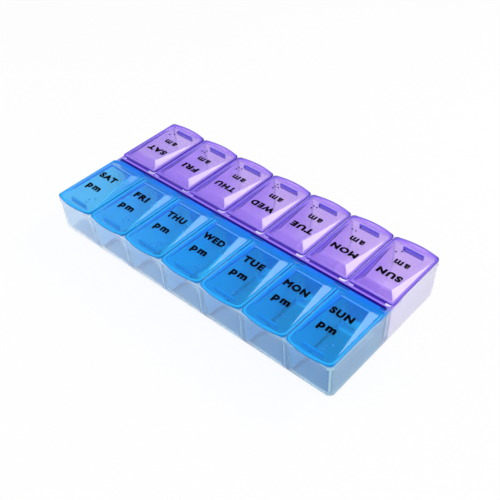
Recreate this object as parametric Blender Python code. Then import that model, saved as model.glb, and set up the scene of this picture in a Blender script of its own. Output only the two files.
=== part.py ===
"""A seven day pill organizer with two rows of lidded cells.

A clear tray holds fourteen cells, seven for the morning and seven for the evening. Each row of
lids is one moulding: a spine with seven tongues that is pressed into the slot between the rows, a
thin web from it across the tray's edge to every lid, and seven lids that fold up along those webs.

X runs along the tray, the evening row lies towards -Y and the morning row towards +Y. The origin
is under the middle of the tray, on the surface it stands on. Sizes are in metres.
"""
import math

import bmesh
import bpy

# Days from -X to +X, and the side of the centre line that each row lies on
DAYS = ("sat", "fri", "thu", "wed", "tue", "mon", "sun")
ROW_SIDES = {"pm": -1, "am": 1}

# Layout shared by the tray, the hinge strips and the lids
CELL_PITCH = 0.0300
LID_GAP = 0.0009
CLEARANCE = 0.0003
OVERRUN = 0.0020

# Tray
TRAY_HEIGHT = 0.0310
TRAY_WIDTH = 0.1000
END_BORDER = 0.00065
WALL = 0.0014
FLOOR = 0.0014
PARTITION = 0.0013
ROW_WALL = 0.0012
SLOT_DEPTH = 0.0200
SLOT_END_WALL = 0.0024
SIDE_FOOT_RADIUS = 0.0110
END_FOOT_RADIUS = 0.0075
TRAY_CORNER_RADIUS = 0.0035
CELL_CORNER_RADIUS = 0.0020
CELL_FLOOR_RADIUS = 0.0020
RIM_BAND_HEIGHT = 0.0022
RIM_BAND_PROUD = 0.0004
RIM_ROUNDING = 0.0004
DRAFT_SHARE = 0.0175

# Lid plate: its hinge edge is set back from the row wall, and its front edge is a lip over the rim
HINGE_SETBACK = 0.0008
LID_LIP = 0.00125
LID_BOW = 0.0022
LID_PLATE = 0.0012
LID_FRONT_RADIUS = 0.0025
LID_HINGE_RADIUS = 0.0018
LID_EDGE_BREAK = 0.0003

# Raised pad on the lid, tall at the hinge and flush near the front edge
PAD_HEIGHT = 0.0026
PAD_BORDER = 0.0016
PAD_START = 0.0020
PAD_SIDE_RUN = 0.0040
PAD_BACK_RUN = 0.0046
PAD_FOOT_RADIUS = 0.0030
PAD_TOP_RADIUS = 0.0014
PAD_SHELL = 0.0010

# Latch rib under the lid
RIB_LENGTH = 0.0135
RIB_THICKNESS = 0.0012
RIB_DEPTH = 0.0030
RIB_FROM_WALL = 0.00255
RIB_FROM_PAD = 0.0012
RIB_END_RADIUS = 0.0005

# Hinge strip
WEB_WIDTH = 0.0205
WEB_THICKNESS = 0.0005
WEB_LIFT = 0.0001
WEB_NOTCH_ROOT = 0.0004
WEB_SEAT = 0.0010
SPINE_THICKNESS = 0.0008
SPINE_DEPTH = 0.0060
SPINE_CHAMFER = 0.0003
TONGUE_WIDTH = 0.0195

# Facet counts, and the bend between two facets from which an edge shows as sharp
FOOT_STEPS = 6
CORNER_STEPS = 3
TRAY_CORNER_STEPS = 5
BOW_STEPS = 10
PAD_CORNER_STEPS = 3
SHARP_EDGE_DEGREES = 32

# Finishes: red, green, blue, roughness, transmission
CLEAR_PLASTIC = (0.62, 0.68, 0.80, 0.22, 0.85)
BLUE_PLASTIC = (0.03, 0.28, 0.80, 0.18, 0.60)
VIOLET_PLASTIC = (0.34, 0.22, 0.80, 0.18, 0.60)

# Worked out from the sizes above
SLOT_WIDTH = 2 * (CLEARANCE / 2 + SPINE_THICKNESS + CLEARANCE)
ROW_WALL_FACE = SLOT_WIDTH / 2 + ROW_WALL
OUTER_WALL_FACE = TRAY_WIDTH / 2 - RIM_BAND_PROUD - WALL
HINGE_EDGE = ROW_WALL_FACE + HINGE_SETBACK
HINGE_LINE = (ROW_WALL_FACE + HINGE_EDGE) / 2
LID_REACH = TRAY_WIDTH / 2 + LID_LIP - HINGE_EDGE
RIB_FRONT = OUTER_WALL_FACE - RIB_FROM_WALL - HINGE_EDGE
RIB_BACK = RIB_FRONT - RIB_THICKNESS
PAD_END = RIB_BACK - RIB_FROM_PAD
LID_WIDTH = CELL_PITCH - LID_GAP
TRAY_LENGTH = len(DAYS) * CELL_PITCH - LID_GAP + 2 * END_BORDER
LID_SEAT = TRAY_HEIGHT + CLEARANCE
WEB_UNDERSIDE = LID_SEAT + WEB_LIFT
HINGE_HEIGHT = WEB_UNDERSIDE + WEB_THICKNESS


def clear_scene():
    """Removes whatever objects the file holds."""
    for thing in list(bpy.data.objects):
        bpy.data.objects.remove(thing, do_unlink=True)


def plastic(name, finish):
    """A translucent moulded plastic."""
    red, green, blue, roughness, transmission = finish
    material = bpy.data.materials.new(name)
    material.use_nodes = True
    shader = material.node_tree.nodes["Principled BSDF"]
    shader.inputs["Base Color"].default_value = (red, green, blue, 1.0)
    shader.inputs["Metallic"].default_value = 0.0
    shader.inputs["Roughness"].default_value = roughness
    shader.inputs["Transmission Weight"].default_value = transmission
    material.diffuse_color = (red, green, blue, 1.0)
    return material


def add_object(name, mesh):
    """Puts a mesh into the scene under its piece's name."""
    thing = bpy.data.objects.new(name, mesh)
    bpy.context.scene.collection.objects.link(thing)
    return thing


def mesh_from(name, bm):
    """Turns a piece's working mesh into its finished one, with every face looking outward."""
    bmesh.ops.recalc_face_normals(bm, faces=bm.faces)
    mesh = bpy.data.meshes.new(name)
    bm.to_mesh(mesh)
    bm.free()
    return mesh


def arc(centre, radius, start, end, steps):
    """Points on a plan arc from one angle to another, both ends included."""
    x, y = centre
    angles = [start + (end - start) * i / steps for i in range(steps + 1)]
    return [(x + radius * math.cos(a), y + radius * math.sin(a)) for a in angles]


def hinge_end(half_width, y, radius, steps):
    """Plan points of an edge at y with round corners that bend towards +Y, from -X to +X."""
    quarter = math.pi / 2
    left = arc((-half_width + radius, y + radius), radius, math.pi, 3 * quarter, steps)
    right = arc((half_width - radius, y + radius), radius, -quarter, 0, steps)
    return left + right


def rounded_rectangle(low, high, radius, steps):
    """Plan points of a rectangle with round corners, counter-clockwise from above."""
    (x0, y0), (x1, y1) = low, high
    quarter = math.pi / 2
    centres = [
        (x1 - radius, y0 + radius),
        (x1 - radius, y1 - radius),
        (x0 + radius, y1 - radius),
        (x0 + radius, y0 + radius),
    ]
    points = []
    for turn, centre in enumerate(centres, start=-1):
        points += arc(centre, radius, turn * quarter, (turn + 1) * quarter, steps)
    return points


def add_ring(bm, points, height):
    """Adds plan points at one height and returns their vertices."""
    return [bm.verts.new((x, y, height)) for x, y in points]


def join_rings(bm, lower, upper):
    """Joins two rings of as many points with a band of quads."""
    count = len(lower)
    for i in range(count):
        j = (i + 1) % count
        bm.faces.new((lower[i], lower[j], upper[j], upper[i]))


def add_loft(bm, sections):
    """Adds a closed solid through plan sections, each a list of points and a height."""
    rings = [add_ring(bm, points, height) for points, height in sections]
    for lower, upper in zip(rings, rings[1:]):
        join_rings(bm, lower, upper)
    bm.faces.new(list(reversed(rings[0])))
    bm.faces.new(rings[-1])


def add_box(bm, low, high):
    """Adds a closed box between two corners."""
    (x0, y0, z0), (x1, y1, z1) = low, high
    corners = [(x0, y0), (x1, y0), (x1, y1), (x0, y1)]
    add_loft(bm, [(corners, z0), (corners, z1)])


def carve(body_mesh, cutter_meshes, operation):
    """Returns the body with each other mesh cut from it or joined to it."""
    body = add_object("body", body_mesh)
    helpers = []
    for cutter_mesh in cutter_meshes:
        helper = add_object("helper", cutter_mesh)
        helper.hide_render = True
        helper.display_type = "WIRE"
        helpers.append(helper)
        step = body.modifiers.new("carve", "BOOLEAN")
        step.operation = operation
        step.solver = "EXACT"
        step.object = helper
    graph = bpy.context.evaluated_depsgraph_get()
    result = bpy.data.meshes.new_from_object(body.evaluated_get(graph))
    for thing in [body] + helpers:
        bpy.data.objects.remove(thing, do_unlink=True)
    return result


def shade_round(mesh):
    """Smooth shading across the curved facets, sharp where a real edge is."""
    mesh.shade_smooth()
    mesh.set_sharp_from_angle(angle=math.radians(SHARP_EDGE_DEGREES))


def foot_inset(height, radius):
    """How far a wall has curved in at a height above a rounded foot's lowest point."""
    if height >= radius:
        return 0.0
    return radius - math.sqrt(radius ** 2 - (radius - height) ** 2)


def foot_heights(radius):
    """Heights of even steps round a foot's quarter circle."""
    turns = [math.pi / 2 * i / FOOT_STEPS for i in range(FOOT_STEPS + 1)]
    return [radius * (1 - math.cos(turn)) for turn in turns]


def lean(height):
    """How far the drafted walls stand in from their place at the rim."""
    return DRAFT_SHARE * (TRAY_HEIGHT - height)


def tray_section(height, proud):
    """Outer plan section of the tray at a height, and how far the rim band stands out there."""
    inset = lean(height) + RIM_BAND_PROUD - proud
    half_x = TRAY_LENGTH / 2 - inset - foot_inset(height, END_FOOT_RADIUS)
    half_y = TRAY_WIDTH / 2 - inset - foot_inset(height, SIDE_FOOT_RADIUS)
    low = (-half_x, -half_y)
    high = (half_x, half_y)
    return rounded_rectangle(low, high, TRAY_CORNER_RADIUS, TRAY_CORNER_STEPS), height


def tray_block():
    """The tray's outer shape, solid: a rounded foot, drafted walls and the band round the rim."""
    sections = [tray_section(height, 0) for height in foot_heights(SIDE_FOOT_RADIUS)]
    band_foot = TRAY_HEIGHT - RIM_BAND_HEIGHT
    sections.append(tray_section(band_foot - RIM_BAND_PROUD, 0))
    sections.append(tray_section(band_foot, RIM_BAND_PROUD))
    sections.append(tray_section(TRAY_HEIGHT - RIM_ROUNDING, RIM_BAND_PROUD))
    sections.append(tray_section(TRAY_HEIGHT, RIM_BAND_PROUD - RIM_ROUNDING))
    bm = bmesh.new()
    add_loft(bm, sections)
    return mesh_from("tray_block", bm)


def wall_places(column):
    """Inner faces of a cell's two walls across X at the rim, with each one's floor radius."""
    low = (column - len(DAYS) / 2) * CELL_PITCH + PARTITION / 2
    high = low + CELL_PITCH - PARTITION
    end_face = TRAY_LENGTH / 2 - RIM_BAND_PROUD - WALL
    end_radius = END_FOOT_RADIUS - WALL
    low_wall = (-end_face, end_radius) if column == 0 else (low, CELL_FLOOR_RADIUS)
    high_wall = (end_face, end_radius) if column == len(DAYS) - 1 else (high, CELL_FLOOR_RADIUS)
    return low_wall, high_wall


def cell_section(column, side, rise):
    """Plan section of a cell's hollow at a rise above its floor."""
    (x_low, low_radius), (x_high, high_radius) = wall_places(column)
    height = FLOOR + rise
    x0 = x_low + lean(height) + foot_inset(rise, low_radius)
    x1 = x_high - lean(height) - foot_inset(rise, high_radius)
    near = ROW_WALL_FACE + lean(height) + foot_inset(rise, CELL_FLOOR_RADIUS)
    far = OUTER_WALL_FACE - lean(height) - foot_inset(rise, SIDE_FOOT_RADIUS - WALL)
    y0, y1 = sorted((side * near, side * far))
    return rounded_rectangle((x0, y0), (x1, y1), CELL_CORNER_RADIUS, CORNER_STEPS), height


def cell_hollows():
    """The fourteen hollows, each with a scooped outer foot, run out above the rim."""
    rises = foot_heights(SIDE_FOOT_RADIUS - WALL)
    rises.append(TRAY_HEIGHT + OVERRUN - FLOOR)
    bm = bmesh.new()
    for side in ROW_SIDES.values():
        for column in range(len(DAYS)):
            add_loft(bm, [cell_section(column, side, rise) for rise in rises])
    return mesh_from("cell_hollows", bm)


def hinge_slot():
    """The slot between the two rows that takes both spines."""
    half_x = TRAY_LENGTH / 2 - SLOT_END_WALL
    half_y = SLOT_WIDTH / 2
    low = (-half_x, -half_y, TRAY_HEIGHT - SLOT_DEPTH)
    high = (half_x, half_y, TRAY_HEIGHT + OVERRUN)
    bm = bmesh.new()
    add_box(bm, low, high)
    return mesh_from("hinge_slot", bm)


def build_tray():
    """The clear tray with its cells and the hinge slot."""
    mesh = carve(tray_block(), [cell_hollows(), hinge_slot()], "DIFFERENCE")
    shade_round(mesh)
    mesh.materials.clear()
    mesh.materials.append(plastic("clear_tray_plastic", CLEAR_PLASTIC))
    add_object("tray", mesh)


def strip_profile():
    """Cross-section of a hinge strip in Y and Z: a tongue, and the web that leaves its top."""
    inner = CLEARANCE / 2
    outer = inner + SPINE_THICKNESS
    tip = HINGE_LINE - CLEARANCE / 2
    bottom = HINGE_HEIGHT - SLOT_DEPTH
    return [
        (inner, HINGE_HEIGHT),
        (inner, bottom + SPINE_CHAMFER),
        (inner + SPINE_CHAMFER, bottom),
        (outer - SPINE_CHAMFER, bottom),
        (outer, bottom + SPINE_CHAMFER),
        (outer, WEB_UNDERSIDE),
        (tip, WEB_UNDERSIDE),
        (tip, HINGE_HEIGHT),
    ]


def strip_blank():
    """The strip before it is cut out: the profile drawn out along the slot."""
    start = -(TRAY_LENGTH / 2 - SLOT_END_WALL - CLEARANCE)
    bm = bmesh.new()
    corners = [bm.verts.new((start, y, z)) for y, z in strip_profile()]
    face = bm.faces.new(corners)
    drawn = bmesh.ops.extrude_face_region(bm, geom=[face])
    moved = [item for item in drawn["geom"] if isinstance(item, bmesh.types.BMVert)]
    bmesh.ops.translate(bm, vec=(-2 * start, 0, 0), verts=moved)
    return mesh_from("strip_blank", bm)


def strip_notches():
    """The gaps between the webs, at every edge between two lids and at both ends."""
    half_width = (CELL_PITCH - WEB_WIDTH) / 2
    root = CLEARANCE / 2 + SPINE_THICKNESS + WEB_NOTCH_ROOT
    bm = bmesh.new()
    for column in range(len(DAYS) + 1):
        x = (column - len(DAYS) / 2) * CELL_PITCH
        low = (x - half_width, root, WEB_UNDERSIDE - OVERRUN)
        high = (x + half_width, HINGE_LINE + OVERRUN, HINGE_HEIGHT + OVERRUN)
        add_box(bm, low, high)
    return mesh_from("strip_notches", bm)


def tongue_gaps():
    """The gaps between the tongues, which leave a shallow spine all along the strip."""
    half_width = (CELL_PITCH - TONGUE_WIDTH) / 2
    bottom = HINGE_HEIGHT - SLOT_DEPTH
    bm = bmesh.new()
    for column in range(len(DAYS) + 1):
        x = (column - len(DAYS) / 2) * CELL_PITCH
        low = (x - half_width, -OVERRUN, bottom - OVERRUN)
        high = (x + half_width, HINGE_LINE + OVERRUN, HINGE_HEIGHT - SPINE_DEPTH)
        add_box(bm, low, high)
    return mesh_from("tongue_gaps", bm)


def build_hinge_strips(materials):
    """The two strips, back to back in the slot."""
    for row, side in ROW_SIDES.items():
        mesh = carve(strip_blank(), [strip_notches(), tongue_gaps()], "DIFFERENCE")
        mesh.materials.clear()
        mesh.materials.append(materials[row])
        strip = add_object(row + "_hinge_strip", mesh)
        strip.rotation_euler = (0, 0, 0 if side > 0 else math.pi)


def lid_front(x):
    """How far the bowed front edge reaches from the hinge edge, at a place across the lid."""
    return LID_REACH - LID_BOW * (2 * x / LID_WIDTH) ** 2


def lid_outline(inset):
    """Plan outline of the lid plate, counter-clockwise, hinge edge first, drawn in by an inset.

    The plan is measured from the middle of the hinge edge, and the lid lies towards +Y.
    """
    half = LID_WIDTH / 2 - inset
    radius = LID_FRONT_RADIUS - inset
    quarter = math.pi / 2
    bow_end = half - radius
    corner_y = lid_front(bow_end) - inset - radius
    points = hinge_end(half, inset, LID_HINGE_RADIUS - inset, CORNER_STEPS)
    points += arc((bow_end, corner_y), radius, 0, quarter, CORNER_STEPS)
    for i in range(1, BOW_STEPS):
        x = bow_end - 2 * bow_end * i / BOW_STEPS
        points.append((x, lid_front(x) - inset))
    points += arc((-bow_end, corner_y), radius, quarter, math.pi, CORNER_STEPS)
    return points


def pad_rings(inset):
    """Plan points of the pad's foot and of its top edge, both round the hinge end from -X to +X."""
    foot_x = LID_WIDTH / 2 - PAD_BORDER - inset
    foot_y = PAD_START + inset
    top_x = foot_x - PAD_SIDE_RUN
    top_y = foot_y + PAD_BACK_RUN
    foot = hinge_end(foot_x, foot_y, PAD_FOOT_RADIUS, PAD_CORNER_STEPS)
    top = hinge_end(top_x, top_y, PAD_TOP_RADIUS, PAD_CORNER_STEPS)
    return foot, top, foot_x


def pad_rise(y):
    """Height of the pad's sloping top over the plate, at a place from the hinge edge."""
    crest = PAD_START + PAD_BACK_RUN
    return PAD_HEIGHT * (PAD_END - y) / (PAD_END - crest)


def add_pad(bm, outline_ring, inset, level):
    """Closes one face of the plate with the pad's facets, down to where its top runs out flush."""
    foot_points, top_points, foot_x = pad_rings(inset)
    foot = add_ring(bm, foot_points, level)
    top = [bm.verts.new((x, y, level + pad_rise(y))) for x, y in top_points]
    front_left = bm.verts.new((-foot_x, PAD_END, level))
    front_right = bm.verts.new((foot_x, PAD_END, level))
    for i in range(len(foot) - 1):
        bm.faces.new((foot[i], foot[i + 1], top[i + 1], top[i]))
    bm.faces.new((front_left, foot[0], top[0]))
    bm.faces.new((foot[-1], front_right, top[-1]))
    bm.faces.new(top + [front_right, front_left])
    inner_ring = foot + [front_right, front_left]
    edges = []
    for ring in (outline_ring, inner_ring):
        for i, vertex in enumerate(ring):
            following = ring[(i + 1) % len(ring)]
            edges.append(bm.edges.get((vertex, following)) or bm.edges.new((vertex, following)))
    bmesh.ops.triangle_fill(bm, use_beauty=True, use_dissolve=False, edges=edges)


def lid_shell():
    """The lid plate with its raised pad, hollow below, standing on the plate's underside at zero."""
    bm = bmesh.new()
    lower = add_ring(bm, lid_outline(0), 0)
    shoulder = add_ring(bm, lid_outline(0), LID_PLATE - LID_EDGE_BREAK)
    upper = add_ring(bm, lid_outline(LID_EDGE_BREAK), LID_PLATE)
    join_rings(bm, lower, shoulder)
    join_rings(bm, shoulder, upper)
    add_pad(bm, upper, 0, LID_PLATE)
    add_pad(bm, lower, PAD_SHELL, 0)
    return mesh_from("lid_shell", bm)


def latch_rib():
    """The short rib that drops into the cell behind its front wall."""
    low = (-RIB_LENGTH / 2, RIB_BACK)
    high = (RIB_LENGTH / 2, RIB_FRONT)
    points = rounded_rectangle(low, high, RIB_END_RADIUS, CORNER_STEPS)
    bm = bmesh.new()
    add_loft(bm, [(points, -RIB_DEPTH), (points, LID_PLATE / 2)])
    return mesh_from("latch_rib", bm)


def hinge_leaf():
    """The lid's half of the web, from the hinge line into the plate."""
    tip = HINGE_LINE - HINGE_EDGE + CLEARANCE / 2
    low = (-WEB_WIDTH / 2, tip, WEB_LIFT)
    high = (WEB_WIDTH / 2, WEB_SEAT, WEB_LIFT + WEB_THICKNESS)
    bm = bmesh.new()
    add_box(bm, low, high)
    return mesh_from("hinge_leaf", bm)


def lid_mesh(material):
    """One whole lid, moved so that its hinge line is the local X axis."""
    mesh = carve(lid_shell(), [latch_rib(), hinge_leaf()], "UNION")
    bm = bmesh.new()
    bm.from_mesh(mesh)
    shift = (0, HINGE_EDGE - HINGE_LINE, LID_SEAT - HINGE_HEIGHT)
    bmesh.ops.translate(bm, vec=shift, verts=bm.verts)
    bm.to_mesh(mesh)
    bm.free()
    shade_round(mesh)
    mesh.materials.clear()
    mesh.materials.append(material)
    return mesh


def build_lids(materials):
    """Fourteen lids, each with its origin on its own hinge line."""
    for row, side in ROW_SIDES.items():
        mesh = lid_mesh(materials[row])
        for column, day in enumerate(DAYS):
            x = (column - (len(DAYS) - 1) / 2) * CELL_PITCH
            lid = add_object(row + "_lid_" + day, mesh)
            lid.location = (x, side * HINGE_LINE, HINGE_HEIGHT)
            lid.rotation_euler = (0, 0, 0 if side > 0 else math.pi)


def build():
    """Models the whole organizer, lids closed."""
    clear_scene()
    materials = {
        "pm": plastic("blue_lid_plastic", BLUE_PLASTIC),
        "am": plastic("violet_lid_plastic", VIOLET_PLASTIC),
    }
    build_tray()
    build_hinge_strips(materials)
    build_lids(materials)
    bpy.context.view_layer.update()


build()
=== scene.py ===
"""Looks of a weekly pill organizer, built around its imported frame.

A clear tray of cells carries a blue row of evening lids and a violet row of morning lids. Each row
is one translucent moulding whose lids fold up along thin webs. Lengths below are in millimetres in
the frame's own axes: X along the tray, -Y towards the evening row, Z up from the table.
"""
import math

import bmesh
import bpy
import numpy as np
from mathutils import Matrix, Vector
from mathutils.geometry import tessellate_polygon


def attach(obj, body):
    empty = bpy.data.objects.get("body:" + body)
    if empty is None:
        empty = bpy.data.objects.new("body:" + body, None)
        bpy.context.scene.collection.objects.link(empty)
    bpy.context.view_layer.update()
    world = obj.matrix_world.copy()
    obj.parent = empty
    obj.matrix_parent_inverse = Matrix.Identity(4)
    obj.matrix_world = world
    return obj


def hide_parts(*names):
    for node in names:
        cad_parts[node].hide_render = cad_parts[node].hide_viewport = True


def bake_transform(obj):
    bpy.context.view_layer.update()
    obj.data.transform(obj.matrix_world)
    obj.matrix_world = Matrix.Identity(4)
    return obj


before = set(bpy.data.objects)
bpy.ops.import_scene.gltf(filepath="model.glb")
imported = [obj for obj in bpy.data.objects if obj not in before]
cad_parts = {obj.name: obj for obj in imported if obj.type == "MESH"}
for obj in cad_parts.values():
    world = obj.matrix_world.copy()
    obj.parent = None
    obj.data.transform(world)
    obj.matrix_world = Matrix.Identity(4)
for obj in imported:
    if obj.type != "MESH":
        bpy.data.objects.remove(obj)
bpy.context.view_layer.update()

# Layout
MM = 0.001
DAYS = ("sat", "fri", "thu", "wed", "tue", "mon", "sun")
ROWS = {"pm": -1, "am": 1}
PITCH = 30.0

# Tray
TRAY_HEIGHT, TRAY_LENGTH, TRAY_WIDTH = 31.0, 210.4, 100.0
WALL, FLOOR, PARTITION, ROW_WALL_FACE = 1.4, 1.4, 1.3, 2.45
SIDE_FOOT, END_FOOT, CELL_FOOT = 11.0, 7.5, 2.0
TRAY_CORNER, CELL_CORNER, SLOT_CORNER = 3.5, 2.0, 0.4
BAND_HEIGHT, BAND_PROUD = 2.2, 0.4
RIM_ROUND, CELL_RIM_ROUND = 0.4, 0.3
DRAFT_SHARE = 0.0175
SLOT_HALF_WIDTH, SLOT_HALF_LENGTH, SLOT_DEPTH = 1.25, 102.8, 20.0

# Rings: heights on the straight walls outside and in the cells, and by the rim band how far over
# its lower edge and how proud of the wall
WALL_STATIONS, CELL_STATIONS = (16.0, 22.0), (28.0, 22.0, 16.0)
BAND_STEPS = ((-0.55, 0), (-0.4, 0.03), (-0.2, 0.15), (0, 0.32), (0.15, BAND_PROUD),
              (0.9, BAND_PROUD))

# Lid
HINGE_EDGE, LID_SEAT, LID_PLATE = 3.25, 31.3, 1.2
LID_HALF_WIDTH, LID_REACH, LID_BOW = 14.68, 48.0, 2.2
LID_FRONT_RADIUS, LID_HINGE_RADIUS, LID_EDGE_ROUND = 2.5, 1.8, 0.4
PAD_HALF_WIDTH, PAD_START, PAD_END, PAD_HEIGHT = 12.95, 2.0, 40.0, 2.6
PAD_SIDE_RUN, PAD_BACK_RUN, PAD_SHELL = 4.0, 4.6, 1.0
CONE_SHARE, HIP_EASE, CREST_EASE, FOOT_EASE = 0.7, 0.06, 0.16, 0.12
BAR_HALF_LENGTH, BAR_BACK, BAR_FRONT, BAR_DEPTH, BAR_END_RADIUS = 6.75, 41.2, 42.4, 3.0, 0.5

# Lines of the lid's grid: across it near the hinge and near the front, and along it over the
# pad's flat and beside its crest
HINGE_STATIONS = (0, 0.3, 0.7, 1.2, 1.85, 2.15, 2.5, 2.85, 3.15, 3.8, 4.6, 5.4, 6.1, 6.45, 6.75,
                  7.0, 7.35, 7.6, 8.2)
FRONT_STATIONS = (39.2, 39.8, 40.2, 40.7, 41.8, 43.2, 44.5, 46.0, 47.2, 47.8, LID_REACH)
FLAT_LINES, FLAT_BORDER = (0, 1.4, 2.8, 4.2, 5.5, 6.7, 7.8, 9.0, 10.0), 0.7
CREST_LINES, CREST_START = (-0.4, -0.2, -0.07, 0.07, 0.2, 0.35), 0.22
FACET_SHARES = (0.25, 0.5, 0.75, 1.0)

# Hinge
HINGE_HEIGHT, WEB_HALF_WIDTH, WEB_THICKNESS, WEB_NECK = 31.9, 10.25, 0.5, 0.3
SPINE_INNER, SPINE_OUTER, SPINE_DEPTH, STRIP_HALF_LENGTH = 0.15, 0.95, 6.0, 102.5
BEAD_REACH, TONGUE_HALF_WIDTH, TONGUE_DEPTH = 0.4, 9.75, 20.0
WEB_START, WEB_END, WEB_NECK_REACH, WEB_BEND = 1.15, 4.2, 0.42, (2.4, 3.3)

# Printed words: width and height, the share of that size in each row, and the place of their
# middles off the lid's middle line and from its hinge edge
WORD_SIZES = {
    "SAT": (13.8, 4.7), "FRI": (11.2, 4.7), "THU": (14.0, 4.7), "WED": (15.7, 4.7),
    "TUE": (14.3, 4.7), "MON": (16.0, 4.7), "SUN": (14.4, 4.7), "pm": (10.8, 5.1), "am": (8.8, 3.8)}
WORD_SHARE = {"pm": 1.0, "am": 1.07}
DAY_PLACES = {"pm": (0.9, 16.8), "am": (1.0, 16.3)}
TIME_PLACES = {"pm": (1.8, 28.8), "am": (1.3, 28.2)}
DAY_BOLD, TIME_BOLD, INK_THICKNESS = 0.065, {"pm": 0.06, "am": 0.045}, 0.03
DAY_SPACING, TIME_SPACING = 1.22, 1.3

# Reading dots: raised initials in the six-dot cell, dots 1 to 3 down the first column
DOT_RADIUS, DOT_HEIGHT, DOT_SPACING, DOT_ROOT = 0.55, 0.3, 2.35, 0.15
DOT_LEFT, DOT_TOP, DOT_RINGS, DOT_SIDES = -4.6, 34.8, 5, 12
RAISED_DOTS = {"s": (2, 3, 4), "m": (1, 3, 4), "t": (2, 3, 4, 5), "w": (2, 4, 5, 6), "f": (1, 2, 4)}


# Mesh making

def grid_faces(rows, columns, around=False, first=0):
    """Quads of a grid of vertices counted row by row; around joins each row's end to its start."""
    r = np.arange(rows - 1)[:, None]
    c = np.arange(columns if around else columns - 1)[None, :]
    after = (c + 1) % columns
    here, below = r * columns, (r + 1) * columns
    corners = [here + c, here + after, below + after, below + c]
    return (np.stack(corners, axis=-1).reshape(-1, 4) + first).tolist()


def new_piece(name, vertices, faces, material, body=None, replaced=(), sharp=35.0):
    """Makes a closed mesh from millimetre vertices, faces outward, and puts it on its body."""
    mesh = bpy.data.meshes.new(name)
    mesh.from_pydata((np.asarray(vertices, float) * MM).tolist(), [], faces)
    bm = bmesh.new()
    bm.from_mesh(mesh)
    bmesh.ops.remove_doubles(bm, verts=bm.verts, dist=1e-7)
    bmesh.ops.recalc_face_normals(bm, faces=bm.faces)
    bm.to_mesh(mesh)
    bm.free()
    mesh.shade_smooth()
    mesh.set_sharp_from_angle(angle=math.radians(sharp))
    mesh.materials.append(material)
    piece = bpy.data.objects.new(name, mesh)
    bpy.context.scene.collection.objects.link(piece)
    if body:
        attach(piece, body)
    if replaced:
        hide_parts(*replaced)
    return piece


def rounded_rectangle(half_x, half_y, radius, steps):
    """Plan points of a centred rectangle whose corners are quarter circles, counter-clockwise."""
    turns = np.linspace(0, math.pi / 2, steps + 1)
    signs = [(1, 1), (-1, 1), (-1, -1), (1, -1)]
    corners = []
    for quarter, (sx, sy) in enumerate(signs):
        angle = turns + quarter * math.pi / 2
        corners.append(np.stack([sx * (half_x - radius) + radius * np.cos(angle),
                                 sy * (half_y - radius) + radius * np.sin(angle)], axis=-1))
    return np.concatenate(corners)


def foot_inset(rise, radius):
    """How far a quarter-round foot has curved in at a rise above its lowest point."""
    left = np.clip(radius - rise, 0, None)
    return radius - np.sqrt(np.clip(radius ** 2 - left ** 2, 0, None))


def loft(rings):
    """One closed tube of rings with equal counts, each ring's points joined to the next ring's."""
    count = len(rings[0])
    return np.concatenate(rings), grid_faces(len(rings), count, around=True)


# Tray

def tray_ring(height, proud, more=0.0):
    """Outer outline at a height: the rim's outline drawn in by draft, foot and band."""
    inset = DRAFT_SHARE * (TRAY_HEIGHT - height) + BAND_PROUD - proud + more
    half_x = TRAY_LENGTH / 2 - inset - foot_inset(height, END_FOOT)
    half_y = TRAY_WIDTH / 2 - inset - foot_inset(height, SIDE_FOOT)
    plan = rounded_rectangle(half_x, half_y, TRAY_CORNER, 10)
    return np.column_stack([plan, np.full(len(plan), height)])


def tray_outside():
    """Rings up the outside: foot in even turns, drafted wall, proud band with eased edges."""
    turns = np.linspace(0, math.pi / 2, 15)
    rings = [tray_ring(h, 0) for h in SIDE_FOOT * (1 - np.cos(turns))]
    band = TRAY_HEIGHT - BAND_HEIGHT
    rings += [tray_ring(h, 0) for h in WALL_STATIONS]
    rings += [tray_ring(band + rise, proud) for rise, proud in BAND_STEPS]
    for turn in np.linspace(0, math.pi / 2, 5):
        height = TRAY_HEIGHT - RIM_ROUND * (1 - math.sin(turn))
        rings.append(tray_ring(height, BAND_PROUD, RIM_ROUND * (1 - math.cos(turn))))
    return rings


def cell_ring(column, side, height, out=0.0):
    """Outline of a cell's hollow at a height, its outer foot scooped, grown by out at the rim."""
    rise = height - FLOOR
    lean = DRAFT_SHARE * (TRAY_HEIGHT - height) - out
    low = (column - 3.5) * PITCH + PARTITION / 2
    high = low + PITCH - PARTITION
    end = TRAY_LENGTH / 2 - BAND_PROUD - WALL
    low_foot = high_foot = CELL_FOOT
    if column == 0:
        low, low_foot = -end, END_FOOT - WALL
    if column == 6:
        high, high_foot = end, END_FOOT - WALL
    x0 = low + lean + foot_inset(rise, low_foot)
    x1 = high - lean - foot_inset(rise, high_foot)
    near = ROW_WALL_FACE + lean + foot_inset(rise, CELL_FOOT)
    far = TRAY_WIDTH / 2 - BAND_PROUD - WALL - lean - foot_inset(rise, SIDE_FOOT - WALL)
    plan = rounded_rectangle((x1 - x0) / 2, (far - near) / 2, CELL_CORNER + out, 8)
    plan = plan + [(x0 + x1) / 2, side * (near + far) / 2]
    return np.column_stack([plan, np.full(len(plan), height)])


def cell_inside(column, side):
    """Rings down a cell: eased rim, drafted walls, then the scooped foot in even turns."""
    rings = []
    for turn in np.linspace(math.pi / 2, 0, 4):
        height = TRAY_HEIGHT - CELL_RIM_ROUND * (1 - math.sin(turn))
        rings.append(cell_ring(column, side, height, CELL_RIM_ROUND * (1 - math.cos(turn))))
    rings += [cell_ring(column, side, h) for h in CELL_STATIONS]
    turns = np.linspace(math.pi / 2, 0, 13)
    rises = (SIDE_FOOT - WALL) * (1 - np.cos(turns))
    rings += [cell_ring(column, side, FLOOR + rise) for rise in rises]
    return rings


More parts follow.
